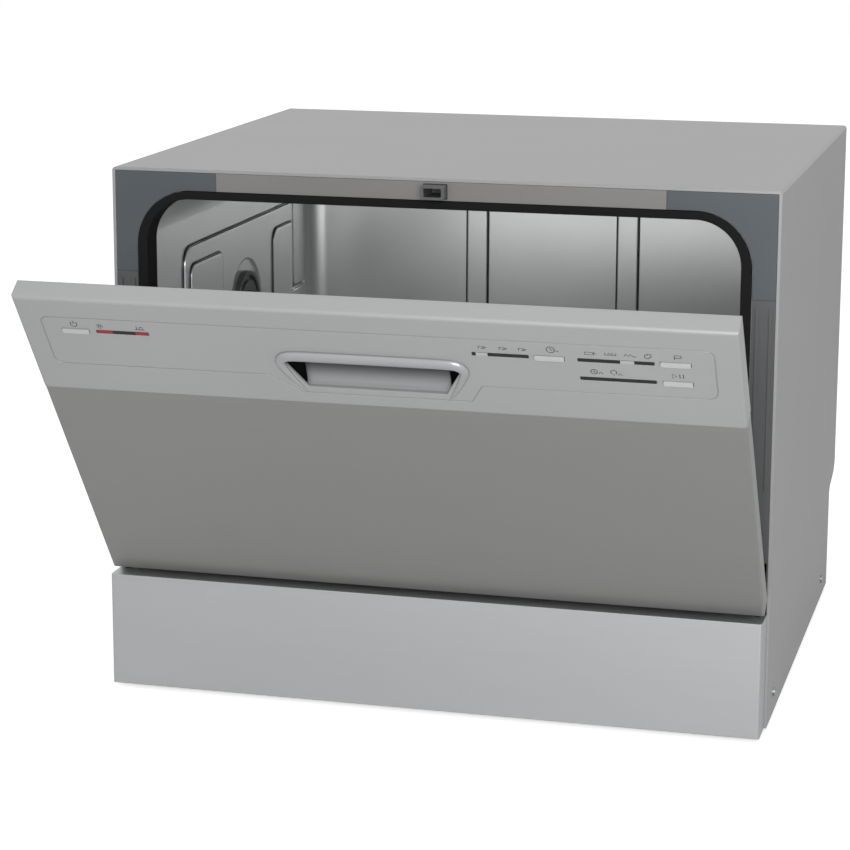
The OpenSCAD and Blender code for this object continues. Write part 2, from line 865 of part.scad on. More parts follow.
// ---- door ----
// outer form of the closed door, shrunk by i
module door_form(i, z0, z1, ru, b) {
    intersection() {
        along_x(-door_hw + i, door_hw - i)
            rrect([door_f + i, z0], [b, z1], [0, 0, 0, max(ru - i, 0.4)]);
        along_z(door_bot - 2, door_top + 2)
            rrect([-door_hw + i, door_f + i], [door_hw - i, b + 2],
                [max(2.6 - i, 0.4), max(2.6 - i, 0.4), 0, 0]);
    }
}
module door_panel() {
    color([0.5, 0.51, 0.52])
    door()
    difference() {
        door_form(0.4, door_bot, seam_z - 0.5, 0.5, door_b);
        door_form(1.4, door_bot + 1, seam_z + 1, 0.4, door_b + 1);
        both()
            box([hinge_x - 2.6, hinge_x + 5], [-24, 0], [door_bot - 1, door_bot + 2]);
    }
}
module groove(p, q) {
    d = q - p;
    translate([p[0], door_f - 1, door_top - p[1]])
        rotate([0, atan2(d[1], d[0]), 0])
            translate([0, 0, -0.4])
                cube([norm(d), 1.5, 0.8]);
}
module groove_arc(c, r, a) {
    translate([c[0], door_f + 0.5, door_top - c[1]])
        rotate([90, 0, 0])
            rotate([0, 0, a])
                rotate_extrude(angle = 90)
                    translate([r - 0.4, 0])
                        square([0.8, 1.5]);
}
module panel_grooves() {
    l = door_hw - 24;
    r = door_hw - 26;
    groove([-l, 20], [r, 20]);
    groove_arc([r, 27], 7, 0);
    groove([r + 7, 27], [r + 7, 63]);
    groove_arc([r - 1, 63], 8, 270);
    groove([80, 71], [r - 1, 71]);
    groove([70, 88.5], [80, 71]);
    groove([-62, 88.5], [70, 88.5]);
    groove([-86, 71], [-62, 88.5]);
    groove([1 - l, 71], [-86, 71]);
    groove_arc([1 - l, 64], 7, 180);
    groove([-l - 6, 26], [-l - 6, 64]);
    groove_arc([-l, 26], 6, 90);
}
// where the windows and buttons sit: sideways centre, distance below the door top, size
left_x = -door_hw;
right_x = handle_x + handle_hw;
windows = [[left_x + 81.5, 33.5, 42, 3.4], [right_x + 33.3, 35.5, 42.4, 3.4],
    [right_x + 118.3, 36, 56, 3.4], [right_x + 118.3, 55.5, 56, 3.4]];
buttons = [[left_x + 44, 34, 21.4, 4.6], [right_x + 69.6, 36, 21.8, 4.6],
    [right_x + 161.6, 36, 22, 4.6], [right_x + 161.9, 56, 21.4, 4.6]];
module panel_hole(p, c) {
    translate([p[0], 0, door_top - p[1]])
        along_y(door_f - 2, door_f + 4)
            rrect([-p[2] / 2 - c, -p[3] / 2 - c], [p[2] / 2 + c, p[3] / 2 + c], [0.8, 0.8, 0.8, 0.8]);
}
module handle_view(g) {
    translate([handle_x, door_top])
        polygon([[-handle_lw - g, -82 - g], [handle_lw + g, -82 - g], [handle_hw + 1.2 * g, -58],
            [handle_hw - 5 + g, -46 + g], [-handle_hw + 5 - g, -46 + g], [-handle_hw - 1.2 * g, -58]]);
}
module control_panel() {
    color([0.68, 0.69, 0.7])
    door()
    difference() {
        door_form(0, seam_z, door_top, 3, door_b);
        difference() {
            door_form(2.2, seam_z + 2, door_top - 2.2, 1, door_b + 1);
            for (x = [left_x + 124, right_x + 187])
                box([x - 1, x + 1], [door_f, -14], [seam_z, door_top]);
        }
        box([-door_hw + 2.2, door_hw - 2.2], [door_f + 2.2, 0], [seam_z - 1, seam_z + 3]);
        panel_grooves();
        for (w = windows)
            panel_hole(w, 0);
        for (b = buttons)
            panel_hole(b, button_c);
        along_y(door_f - 2, door_f + 4)
            handle_view(0);
    }
}
// the lip round the handle opening in the front view, moved outwards by g
module lip_view(g) {
    polygon([[-handle_lw - 2 - g, -88], [-handle_hw - 4 - g, -60], [-handle_hw - g, -49.5 + g / 2],
        [-handle_hw + 7 - g / 2, -45 + g], [handle_hw - 7 + g / 2, -45 + g],
        [handle_hw + g, -49.5 + g / 2], [handle_hw + 4 + g, -60], [handle_lw + 2 + g, -88]]);
}
module handle_bezel() {
    color([0.8, 0.81, 0.82])
    door()
        translate([handle_x, 0, door_top])
            for (k = [[4.4, 1.4], [3.9, 2.6], [2.8, 3.7], [1.4, 4.4]])
                along_y(door_f - 0.02 - k[1], door_f - 0.02)
                    difference() {
                        lip_view(k[0]);
                        lip_view(-k[0]);
                    }
}
module handle_cup() {
    w = handle_hw + 9;
    color([0.09, 0.09, 0.1])
    door()
        translate([handle_x, 0, door_top])
        difference() {
            box([-w, w], [door_f + 2.2, -10], [-92, -38]);
            box([1.6 - w, w - 1.6], [door_f, -11.6], [-90.4, -39.6]);
            cyl_x(-w - 4, w + 4, -24, -86, 2 + run_c);
            box([-7, 7], [-12, -9], [-60, -48]);
        }
}
module handle_lever() {
    w = handle_hw + 10;
    x = handle_x;
    z = door_top;
    color([0.62, 0.63, 0.64])
    door()
        difference() {
            union() {
                intersection() {
                    difference() {
                        cyl_x(x - handle_lw - 2, x + handle_lw + 2, -33.5, z - 67, 19);
                        cyl_x(x - w - 3, x + w + 3, -33.5, z - 67, 17);
                    }
                    box([x - w - 3, x + w + 3], [-26.4, -12.2], [z - 83.5, z - 48]);
                }
                cyl_x(x - w, x + w, -24, z - 86, 2);
                box([x - handle_lw + 2, x + handle_lw - 2], [-25, -21.5], [z - 86, z - 81.6]);
            }
        }
}
module latch_hook() {
    z = door_top;
    color([0.4, 0.4, 0.42])
    door()
    difference() {
        union() {
            box([-6, 4], [-20, -17], [z - 34, z - 8]);
            box([-6, 4], [-20, -5.2], [z - 11, z - 7.4]);
            box([-6, 4], [-8, -5.2], [z - 11.4, z - 7.4]);
            cyl_x(-6, 4, -18.5, z - 33, 4);
        }
        cyl_x(-10, 8, -18.5, z - 33, 2 + run_c);
    }
}
module door_lock() {
    z = door_top;
    color([0.15, 0.15, 0.16])
    door() {
        box([-10, 8], [-26.6, -24.6], [z - 37.6, z - 8]);
        box([-10, -7], [-26.6, -14], [z - 37.6, z - 10]);
        box([5, 8], [-26.6, -14], [z - 37.6, z - 10]);
        cyl_x(-8, 6, -18.5, z - 33, 2);
        box([8, 30], [-26.6, -17], [z - 30, z - 16]);
    }
}
module inner_door() {
    w = tub_hw - 32;
    color([0.7, 0.71, 0.72])
    door()
    difference() {
        union() {
            difference() {
                union() {
                    along_y(-13.6, in_b)
                        rrect([-lin_hw, lin_bot], [lin_hw, lin_top], [10, 10, 16, 16]);
                    box([-door_hw + 1.6, door_hw - 1.6], [-13.6, -12.6], [lin_bot, seam_z - 2]);
                    box([-door_hw + 2.4, door_hw - 2.4], [-13.6, -12.6], [seam_z - 3, door_top - 2.4]);
                }
                along_y(-14, in_b - 1)
                    rrect([-lin_hw + 1, lin_bot + 1], [lin_hw - 1, lin_top - 1], [9, 9, 15, 15]);
                along_y(in_b - 5, in_b + 1)
                    rrect([-w, tub_floor + 30], [w, tub_top - 30.5], [20, 20, 26, 26]);
            }
            along_y(in_b - 6, in_b - 5)
                rrect([-w - 1, tub_floor + 29], [w + 1, tub_top - 29.5], [21, 21, 27, 27]);
            along_y(in_b - 5.5, in_b)
                difference() {
                    rrect([-w - 1, tub_floor + 29], [w + 1, tub_top - 29.5], [21, 21, 27, 27]);
                    rrect([-w, tub_floor + 30], [w, tub_top - 30.5], [20, 20, 26, 26]);
                }
            for (x = [-150, 150])
                along_y(in_b - 5.4, in_b - 2.6)
                    rrect([x - 34, 262], [x + 34, tub_top - 48.5], [10, 10, 16, 16]);
        }
        box([-82, 66], [-20, 1], [166, 246]);
        box([-8.4, 6.4], [-14, -12], [lin_top - 0.2, door_top - 3]);
        both()
            box([hinge_x - 7.4, hw], [-14, 1], [hinge_z - 9, hinge_z + 17]);
    }
}
module detergent_dispenser() {
    color([0.2, 0.21, 0.23])
    door()
        translate([-8, 0, 206])
        difference() {
            union() {
                box([-73.8, 73.8], [-25, in_b - 1], [-39.8, 39.8]);
                box([-78, 78], [in_b - 4.9, in_b - 0.4], [-44, 44]);
            }
            along_y(-21, 1)
                rrect([-60, -28], [8, 28], [8, 8, 8, 8]);
            cyl_y(-21, 1, 42, 8, 17);
            cyl_y(-12, 1, 42, -24, 6);
            cyl_x(-64, 12, -3.4, -32.4, 1.5 + run_c);
            box([-62, 10], [-5.2, 1], [-36, -27]);
        }
}
module dispenser_lid() {
    color([0.32, 0.33, 0.36])
    door()
        translate([-8, 0, 206]) {
            along_y(-2.2, -0.4)
                rrect([-61, -30.6], [9, 31], [2, 2, 6, 6]);
            cyl_x(-61.5, 9.5, -3.4, -32.4, 1.5);
            box([-60, 8], [-3.6, -1.4], [-32.6, -29]);
            box([-30, -22], [-0.5, 1.2], [24, 28]);
        }
}
module rinse_cap() {
    color([0.12, 0.25, 0.42])
    door()
        translate([-8, 0, 206])
        difference() {
            union() {
                cyl_y(-14, -1, 42, 8, 17 - run_c);
                cyl_y(-2.2, 1.4, 42, 8, 19);
            }
            for (k = [3, -15])
                box([28, 56], [-1.6, 2], [8 + k, 20 + k]);
        }
}
module button(p) {
    door()
        translate([p[0], 0, door_top - p[1]]) {
            along_y(door_f - 1, door_f + 3.4)
                rrect([-p[2] / 2, -p[3] / 2], [p[2] / 2, p[3] / 2], [0.7, 0.7, 0.7, 0.7]);
            box([-p[2] / 2 - 1, p[2] / 2 + 1], [door_f + 2.5, door_f + 3.5], [-3.4, 3.4]);
            cyl_y(door_f + 3, door_f + 5.2, 0, 0, 2);
        }
}
module power_button() {
    color([0.78, 0.79, 0.8])
        button(buttons[0]);
}
module delay_button() {
    color([0.78, 0.79, 0.8])
        button(buttons[1]);
}
module program_button() {
    color([0.78, 0.79, 0.8])
        button(buttons[2]);
}
module start_button() {
    color([0.78, 0.79, 0.8])
        button(buttons[3]);
}
module light_windows() {
    color([0.06, 0.06, 0.07])
    door()
        for (w = windows)
            translate([w[0], 0, door_top - w[1]]) {
                along_y(door_f - 0.1, door_f + 2.4)
                    rrect([-w[2] / 2, -w[3] / 2], [w[2] / 2, w[3] / 2], [0.7, 0.7, 0.7, 0.7]);
                box([-w[2] / 2 - 1.5, w[2] / 2 + 1.5], [door_f + 2.3, door_f + 3.2], [-3, 3]);
            }
}
module control_board() {
    color([0.1, 0.3, 0.16])
    door() {
        box([right_x + 11, right_x + 179], [-20.6, -19], [door_top - 66, door_top - 28]);
        box([left_x + 26, left_x + 106], [-20.6, -19], [door_top - 44, door_top - 26]);
        for (b = buttons)
            translate([b[0], 0, door_top - b[1]]) {
                box([-3, 3], [-21.8, -20.4], [-3, 3]);
            }
        for (w = windows)
            for (k = [-0.35, -0.12, 0.12, 0.35])
                translate([w[0] + k * w[2], 0, door_top - w[1]])
                    cyl_y(-24.6, -20.4, 0, 0, 1.4);
        for (x = [right_x + 25, right_x + 85, right_x + 165, left_x + 34, left_x + 98])
            cyl_y(-26.8, -20.4, x, door_top - (x > 0 ? 62 : 42), 2.4);
        for (x = [right_x + 35, right_x + 135])
            box([x, x + 24], [-19.1, -15], [door_top - 60, door_top - 48]);
    }
}
module hinge_arms() {
    color([0.5, 0.5, 0.51])
    door()
        both()
        difference() {
            union() {
                box([hinge_x + 1.6, hinge_x + 4], [-24, -14.2], [hinge_z, 236]);
                cyl_x(hinge_x + 1.6, hinge_x + 4, hy, hinge_z, 8);
                rod([hinge_x + 2.8, hy, hinge_z], [hinge_x + 2.8, hy + 17.5, hinge_z - 30], 1.2);
                box([hinge_x - 8, hinge_x + 4], [-16.2, -14.2], [190, 236]);
            }
            cyl_x(hinge_x - 3, hinge_x + 7, hy, hinge_z, 4);
        }
}

// ---- rack and what it carries ----
module loop(x0, x1, y0, y1, z, r) {
    wire([[x0, y0, z], [x1, y0, z], [x1, y1, z], [x0, y1, z], [x0, y0, z]], r);
    translate([x0, y0, z])
        sphere(r);
}
// an end panel of the rack: top and middle wires with uprights
module rack_end(y, d) {
    rod([-rack_hw - 2.4, y, 232], [rack_hw + 2.4, y, 232], 2.4);
    rod([-rack_hw - 0.7, y + d, 198], [rack_hw + 0.7, y + d, 198], 1.7);
    for (x = rack_rods)
        rod([x, y + d * 1.5, 162.8], [x, y + d * 1.5, 232], 1.6);
}
module rack_side() {
    rod([rack_hw, rack_front + 2.45, 232], [rack_hw, rack_rear - 2.45, 232], 2.4);
    rod([rack_hw - 1, rack_front + 3.15, 198], [rack_hw - 1, rack_rear - 3.15, 198], 1.7);
    for (y = rack_ys)
        rod([rack_hw - 1.4, y, 162.6], [rack_hw - 1.4, y, 232], 1.6);
}
module dish_rack() {
    color([0.5, 0.52, 0.55])
    cabinet() {
        loop(2 - rack_hw, rack_hw - 2, rack_front + 2, rack_rear - 2, 160, 2.2);
        for (y = rack_ys)
            rod([2 - rack_hw, y, 158.8], [rack_hw - 2, y, 158.8], 1.6);
        for (x = rack_rods)
            rod([x, rack_front + 2, 161], [x, rack_rear - 2, 161], 1.6);
        rack_end(rack_front, 1);
        rack_end(rack_rear, -1);
        rack_side();
        difference() {
            union() {
                mirror([1, 0, 0])
                    rack_side();
                for (y = cup_ys)
                    cyl_y(y - 3, y + 3, -rack_hw, 238, 4.4);
            }
            for (y = cup_ys)
                cyl_y(y - 4, y + 4, -rack_hw, 238, 2 + run_c);
        }
        for (y = comb_ys) {
            rod([-132, y, 164.4], [132, y, 164.4], 1.6);
            for (x = [-130 : 26 : 130])
                rod([x, y, 164.4], [x, y, 226], 1.6);
        }
        both()
            for (y = wheel_ys) {
                box([rack_hw + 0.3, rack_hw + 3], [y - 5, y + 5], [146, 163]);
                cyl_x(rack_hw + 1, rack_hw + 18, y, wheel_z, 3);
                cyl_x(rack_hw + 17, rack_hw + 18.6, y, wheel_z, 4.6);
                cyl_x(rack_hw + 2, rack_hw + 5, y, wheel_z, 4.6);
            }
        for (x = [-156, 0, 156])
            difference() {
                union() {
                    cyl_x(x - 3, x + 3, fold_y, 166.2, 4.2);
                    rod([x, fold_y, 160.5], [x, fold_y, 163.2], 1.6);
                }
                cyl_x(x - 4, x + 4, fold_y, 166.2, 2 + run_c);
            }
    }
}
module wheel(s, y) {
    x = rack_hw + 6;
    cabinet()
        scale([s, 1, 1])
        difference() {
            union() {
                cyl_x(x + 0.4, x + 10, y, wheel_z, wheel_r);
            }
            cyl_x(x, x + 11, y, wheel_z, 3 + run_c);
            difference() {
                cyl_x(x + 8.4, x + 11, y, wheel_z, 9.4);
                cyl_x(x + 8, x + 12, y, wheel_z, 5);
            }
            for (a = [0 : 60 : 300])
                translate([x, y, wheel_z])
                    rotate([a, 0, 0])
                        translate([0, 7.2, 0])
                            rotate([0, 90, 0])
                                cylinder(h = 12, r = 1.6);
        }
}
module wheel_front_left() {
    color([0.9, 0.9, 0.9])
        wheel(-1, wheel_ys[0]);
}
module wheel_front_right() {
    color([0.9, 0.9, 0.9])
        wheel(1, wheel_ys[0]);
}
module wheel_rear_left() {
    color([0.9, 0.9, 0.9])
        wheel(-1, wheel_ys[1]);
}
module wheel_rear_right() {
    color([0.9, 0.9, 0.9])
        wheel(1, wheel_ys[1]);
}
module folding_tines() {
    color([0.5, 0.52, 0.55])
    cabinet() {
        rod([-164, fold_y, 166.2], [164, fold_y, 166.2], 2);
        for (x = [-143, -117, -91, -65, -39, -13, 13, 39, 65, 91, 117, 143])
            rod([x, fold_y, 166.2], [x, fold_y, 224], 1.6);
        rod([-143, fold_y, 204], [143, fold_y, 204], 1.4);
    }
}
module cup_shelf() {
    x = -rack_hw;
    color([0.5, 0.52, 0.55])
    cabinet() {
        rod([x, cup_ys[0] - 10, 238], [x, cup_ys[1] + 10, 238], 2);
        for (y = [156, 188, 224, 260, 292])
            rod([x, y, 238], [x + 78, y, 238], 1.6);
        rod([x + 78, 154, 238], [x + 78, 294, 238], 1.9);
        rod([x + 40, 154, 238], [x + 40, 294, 238], 1.5);
    }
}
module cutlery_basket() {
    x0 = 22;
    x1 = rack_hw - 18;
    cell = (x1 - x0 - 0.1) / 3;
    y0 = rack_front + 12;
    y1 = y0 + 62;
    color([0.28, 0.3, 0.33])
    cabinet()
    difference() {
        union() {
            difference() {
                along_z(162.9, 252)
                    rrect([x0, y0], [x1, y1], [8, 8, 8, 8]);
                along_z(165, 254)
                    rrect([x0 + 1.8, y0 + 1.8], [x1 - 1.8, y1 - 1.8], [6.2, 6.2, 6.2, 6.2]);
            }
            for (k = [1 : 2])
                box([x0 + k * cell - 0.8, x0 + k * cell + 0.8], [y0 + 1, y1 - 1], [164, 249]);
            box([x0 + 1, x1 - 1], [(y0 + y1) / 2 - 0.8, (y0 + y1) / 2 + 0.8], [164, 249]);
            along_y((y0 + y1) / 2 - 3, (y0 + y1) / 2 + 3)
                difference() {
                    rrect([x0 + 60, 240], [x1 - 60, 284], [4, 4, 16, 16]);
                    rrect([x0 + 66, 232], [x1 - 66, 278], [0, 0, 11, 11]);
                }
        }
        for (k = [0 : floor((x1 - x0 - 18) / 17.4)])
            for (z = [172, 211])
                box([x0 + 8 + k * 17.4, x0 + 15 + k * 17.4], [y0 - 2, y1 + 2], [z, z + 31]);
    }
}

outer_casing();
rear_panel();
base_tray();
base_panel();
levelling_feet();
front_sill();
tub_shell();
corner_plates();
top_trim();
side_stiles();
tub_gasket();
sill_seal();
latch_socket();
breather_cap();
rack_rails();
sump();
flat_filter();
filter_insert();
coarse_filter();
salt_cap();
water_softener();
spray_arm();
circulation_pump();
flow_heater();
drain_pump();
inlet_valve();
drain_elbow();
cord_gland();
inner_hoses();
flood_float();
float_switch();
hinge_brackets();
door_springs();
casing_screws();
door_panel();
control_panel();
handle_bezel();
handle_cup();
handle_lever();
latch_hook();
door_lock();
inner_door();
detergent_dispenser();
dispenser_lid();
rinse_cap();
power_button();
delay_button();
program_button();
start_button();
light_windows();
control_board();
hinge_arms();
dish_rack();
wheel_front_left();
wheel_front_right();
wheel_rear_left();
wheel_rear_right();
folding_tines();
cup_shelf();
cutlery_basket();
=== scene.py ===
"""Looks of a countertop dishwasher: finishes, printed marks, lamps and camera."""
import math
import bpy
from mathutils import Matrix, Vector


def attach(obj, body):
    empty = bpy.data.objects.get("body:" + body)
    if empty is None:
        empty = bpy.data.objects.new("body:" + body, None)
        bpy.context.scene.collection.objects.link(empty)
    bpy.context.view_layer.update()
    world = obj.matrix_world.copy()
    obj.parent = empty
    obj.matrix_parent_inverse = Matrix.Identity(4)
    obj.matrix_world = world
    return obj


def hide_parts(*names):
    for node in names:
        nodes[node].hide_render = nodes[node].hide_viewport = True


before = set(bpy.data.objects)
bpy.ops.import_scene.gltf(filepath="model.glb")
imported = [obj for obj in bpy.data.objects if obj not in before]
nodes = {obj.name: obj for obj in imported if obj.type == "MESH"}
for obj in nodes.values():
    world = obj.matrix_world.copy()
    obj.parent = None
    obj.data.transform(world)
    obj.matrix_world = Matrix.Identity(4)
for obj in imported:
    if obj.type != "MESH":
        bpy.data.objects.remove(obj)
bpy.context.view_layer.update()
scene = bpy.context.scene

# The door is drawn 36.3 degrees open about its pivot. Closed-door places are in millimetres:
# X to the right, Y to the back from the front edge of the casing, Z up.
MM = 0.001
OPEN = math.radians(36.3)
ORIGIN_Y, PIVOT_Y, PIVOT_Z = 130.0, -15.0, 119.0
DOOR_TOP, DOOR_FACE, HANDLE_X = 436.0, -29.0, -2.0
TUB_HALF, TUB_BACK = 246.0, 446.0
DOOR = (Matrix.Translation((0, (PIVOT_Y - ORIGIN_Y) * MM, PIVOT_Z * MM))
        @ Matrix.Rotation(OPEN, 4, "X")
        @ Matrix.Translation((0, -PIVOT_Y * MM, -PIVOT_Z * MM)))
CABINET = Matrix.Translation((0, -ORIGIN_Y * MM, 0))

# Patterns of the finishes: widths in metres, then the numbers of marks in a metre.
ORANGE_PEEL = 0.0015
BRUSH_LINE, BRUSH_LENGTH = 0.0005, 0.15
PRESS_WAVE = 0.09
PIGMENT_CLOUD = 0.03
LACQUER_FLAKE = 0.0006
RUBBER_PORE = 0.0008
GLASS_THREAD = 0.0005
ENAMEL_CLOUDS, LACQUER_CLOUDS, BLOOM_CLOUDS = 9.0, 7.0, 60.0
HAIRLINES, FLOW_LINES = (900, 900, 25), (60, 900, 900)
# Between these heights up along the open door, in metres, the handle's flap is painted dark:
# painted shade under the lip.
SHADE_LOW, SHADE_HIGH = 0.412, 0.436


# ---- colours and shader nodes ----
def linear(code):
    """An sRGB hex colour as linear RGBA."""
    parts = [int(code[i:i + 2], 16) / 255 for i in (0, 2, 4)]
    return [c / 12.92 if c <= 0.04045 else ((c + 0.055) / 1.055) ** 2.4 for c in parts] + [1.0]


def add(tree, kind, settings=None, links=None):
    """Adds a shader node. Settings name its sockets or attributes, links name sockets."""
    made = tree.nodes.new(kind)
    for key, value in (settings or {}).items():
        if isinstance(key, str) and hasattr(made, key):
            setattr(made, key, value)
        else:
            made.inputs[key].default_value = value
    for key, output in (links or {}).items():
        tree.links.new(output, made.inputs[key])
    return made


def start(name, code, metallic, roughness, **more):
    """A new material with its surface shader, and the object coordinates for its patterns."""
    made = bpy.data.materials.new(name)
    made.use_nodes = True
    tree = made.node_tree
    tree.nodes.clear()
    settings = {"Base Color": linear(code), "Metallic": metallic, "Roughness": roughness}
    settings.update({k.replace("_", " "): v for k, v in more.items()})
    shader = add(tree, "ShaderNodeBsdfPrincipled", settings)
    add(tree, "ShaderNodeOutputMaterial", links={"Surface": shader.outputs["BSDF"]})
    where = add(tree, "ShaderNodeTexCoord").outputs["Object"]
    return made, tree, shader, where


def noise(tree, where, scale, detail=2.0):
    """Cloudy noise from 0 to 1."""
    return add(tree, "ShaderNodeTexNoise", {"Scale": scale, "Detail": detail},
               {"Vector": where}).outputs["Fac"]


def cells(tree, where, size, output="Distance"):
    """Cells of about one size: the distance from the middle, or a colour for each."""
    return add(tree, "ShaderNodeTexVoronoi", {"Scale": 1 / size}, {"Vector": where}).outputs[output]


def stretched(tree, where, scale):
    """The coordinates with a scale of their own along each axis."""
    return add(tree, "ShaderNodeMapping", {"Scale": scale}, {"Vector": where}).outputs["Vector"]


def between(tree, value, low, high):
    """Maps 0 to 1 onto low to high."""
    return add(tree, "ShaderNodeMapRange", {"To Min": low, "To Max": high},
               {"Value": value}).outputs["Result"]


def paint(tree, shader, value, dark, light):
    """Runs the base colour from one hex colour to another."""
    mix = add(tree, "ShaderNodeMix", {"data_type": "RGBA", 6: linear(dark), 7: linear(light)},
              {0: value})
    tree.links.new(mix.outputs[2], shader.inputs["Base Color"])


def gloss(tree, shader, value, low, high):
    """Runs the roughness from low to high."""
    tree.links.new(between(tree, value, low, high), shader.inputs["Roughness"])


def rounded(tree, shader, radius, height=None, strength=0.0, distance=0.0):
    """Soft edges of the real part, with an optional relief over them."""
    edge = add(tree, "ShaderNodeBevel", {"samples": 6, "Radius": radius}).outputs["Normal"]
    if height is not None:
        edge = add(tree, "ShaderNodeBump", {"Strength": strength, "Distance": distance},
                   {"Height": height, "Normal": edge}).outputs["Normal"]
    tree.links.new(edge, shader.inputs["Normal"])


# ---- finishes ----
def baked_enamel(name, dark, light, roughness, metallic=0.25):
    """Stoved silver enamel on steel sheet: an aluminium flake in the lacquer gives a soft sheen,
    and the film dries with an orange peel about 1.5 mm across."""
    made, tree, shader, where = start(name, light, metallic, roughness)
    paint(tree, shader, noise(tree, where, ENAMEL_CLOUDS), dark, light)
    peel = noise(tree, where, 1 / ORANGE_PEEL, 1.0)
    rounded(tree, shader, 0.0006, peel, strength=0.12, distance=0.00004)
    return made


def brushed_sheet(name, dark, light, roughness, along, metallic):
    """Steel sheet brushed with a belt: the lines are 0.1 mm apart, drawn 0.5 mm apart so that
    they show, and 150 mm long along one axis."""
    made, tree, shader, where = start(name, light, metallic, roughness)
    scale = [1 / BRUSH_LINE] * 3
    scale["XYZ".index(along)] = 1 / BRUSH_LENGTH
    lines = noise(tree, stretched(tree, where, scale), 1.0)
    paint(tree, shader, lines, dark, light)
    gloss(tree, shader, lines, roughness - 0.05, roughness + 0.06)
    rounded(tree, shader, 0.0006, lines, strength=0.05, distance=0.00002)
    return made


def polished_sheet(name, dark, light, roughness, edge, metallic=1.0):
    """Drawn and polished stainless sheet, satin, with a slow waviness from the press, about 90 mm
    across, and hairline wiping marks, 1.1 mm wide and 40 mm long, that only change the gloss. The
    tub's sheet is partly diffuse, so that its walls are as bright as in the photograph."""
    made, tree, shader, where = start(name, light, metallic, roughness)
    wave = noise(tree, where, 1 / PRESS_WAVE, 1.0)
    paint(tree, shader, wave, dark, light)
    hair = noise(tree, stretched(tree, where, HAIRLINES), 1.0, 3.0)
    gloss(tree, shader, hair, roughness - 0.002, roughness + 0.002)
    rounded(tree, shader, edge, wave, strength=0.25, distance=0.0006)
    return made


def moulded(name, dark, light, roughness, grain=0.0004, edge=0.0005):
    """Injection-moulded plastic: a spark-eroded mould leaves a fine matt grain, and the pigment
    flows in faint clouds about 30 mm across."""
    made, tree, shader, where = start(name, light, 0.0, roughness, IOR=1.49)
    paint(tree, shader, noise(tree, where, 1 / PIGMENT_CLOUD, 3.0), dark, light)
    pits = cells(tree, where, grain)
    gloss(tree, shader, pits, roughness - 0.04, roughness + 0.06)
    rounded(tree, shader, edge, pits, strength=0.15, distance=0.00003)
    return made


def lacquered(name, dark, light, roughness, coat, edge=0.0008):
    """ABS with silver lacquer: finer flake than on the steel and a smoother film, so its edges
    catch a brighter line."""
    made, tree, shader, where = start(name, light, 0.3, roughness,
                                      Coat_Weight=coat, Coat_Roughness=0.2)
    flake = cells(tree, where, LACQUER_FLAKE)
    both = add(tree, "ShaderNodeMath", {"operation": "MULTIPLY_ADD", 1: 0.25},
               {0: flake, 2: noise(tree, where, LACQUER_CLOUDS)})
    paint(tree, shader, both.outputs["Value"], dark, light)
    rounded(tree, shader, edge, flake, strength=0.04, distance=0.00002)
    return made


def shaded_lacquer(name, deep, full, roughness, coat):
    """The same lacquer on the handle's flap, turning dark up along the open door. This stands for
    the shading in the photograph; nothing shows that the finish itself varies."""
    made, tree, shader, where = start(name, full, 0.3, roughness,
                                      Coat_Weight=coat, Coat_Roughness=0.2)
    up_the_door = (0, -math.sin(OPEN), math.cos(OPEN))
    height = add(tree, "ShaderNodeVectorMath", {"operation": "DOT_PRODUCT", 1: up_the_door},
                 {0: where})
    shade = add(tree, "ShaderNodeMapRange", {"interpolation_type": "SMOOTHSTEP",
                                             "From Min": SHADE_LOW, "From Max": SHADE_HIGH},
                {"Value": height.outputs["Value"]})
    paint(tree, shader, shade.outputs["Result"], full, deep)
    rounded(tree, shader, 0.0008, cells(tree, where, LACQUER_FLAKE), strength=0.04,
            distance=0.00002)
    return made


def zinc_plated(name, dark, light, roughness, spangle=0.004):
    """Zinc on steel: crystals a few millimetres across reflect a little differently."""
    made, tree, shader, where = start(name, light, 0.9, roughness)
    tone = add(tree, "ShaderNodeSeparateColor",
               links={"Color": cells(tree, where, spangle, "Color")}).outputs["Red"]
    paint(tree, shader, tone, dark, light)
    gloss(tree, shader, tone, roughness - 0.08, roughness + 0.08)
    rounded(tree, shader, 0.0004)
    return made


def rubber(name, dark, light, roughness):
    """EPDM rubber: matt black with a trace of bloom, and a skin of fine pores. Its index is below
    that of rubber, so that it stays as dark as in the photograph."""
    made, tree, shader, where = start(name, light, 0.0, roughness, IOR=1.3)
    paint(tree, shader, noise(tree, where, BLOOM_CLOUDS, 4.0), dark, light)
    pores = noise(tree, where, 1 / RUBBER_PORE, 1.0)
    rounded(tree, shader, 0.0012, pores, strength=0.2, distance=0.00005)
    return made


def clear_lens(name, code, roughness):
    """Tinted acrylic lens: glossy, evenly coloured, with a faint flow line along it."""
    made, tree, shader, where = start(name, code, 0.0, roughness, IOR=1.49)
    flow = noise(tree, stretched(tree, where, FLOW_LINES), 1.0)
    gloss(tree, shader, flow, roughness, roughness + 0.08)
    rounded(tree, shader, 0.0003)
    return made


def board_green(name, dark, light):
    """FR4 circuit board under green solder mask, with its glass threads as faint bands."""
    made, tree, shader, where = start(name, light, 0.0, 0.4, IOR=1.5)
    weave = add(tree, "ShaderNodeTexWave", {"Scale": 1 / GLASS_THREAD / 6.28, "Distortion": 1.0},
                {"Vector": where})
    paint(tree, shader, weave.outputs["Fac"], dark, light)
    return made


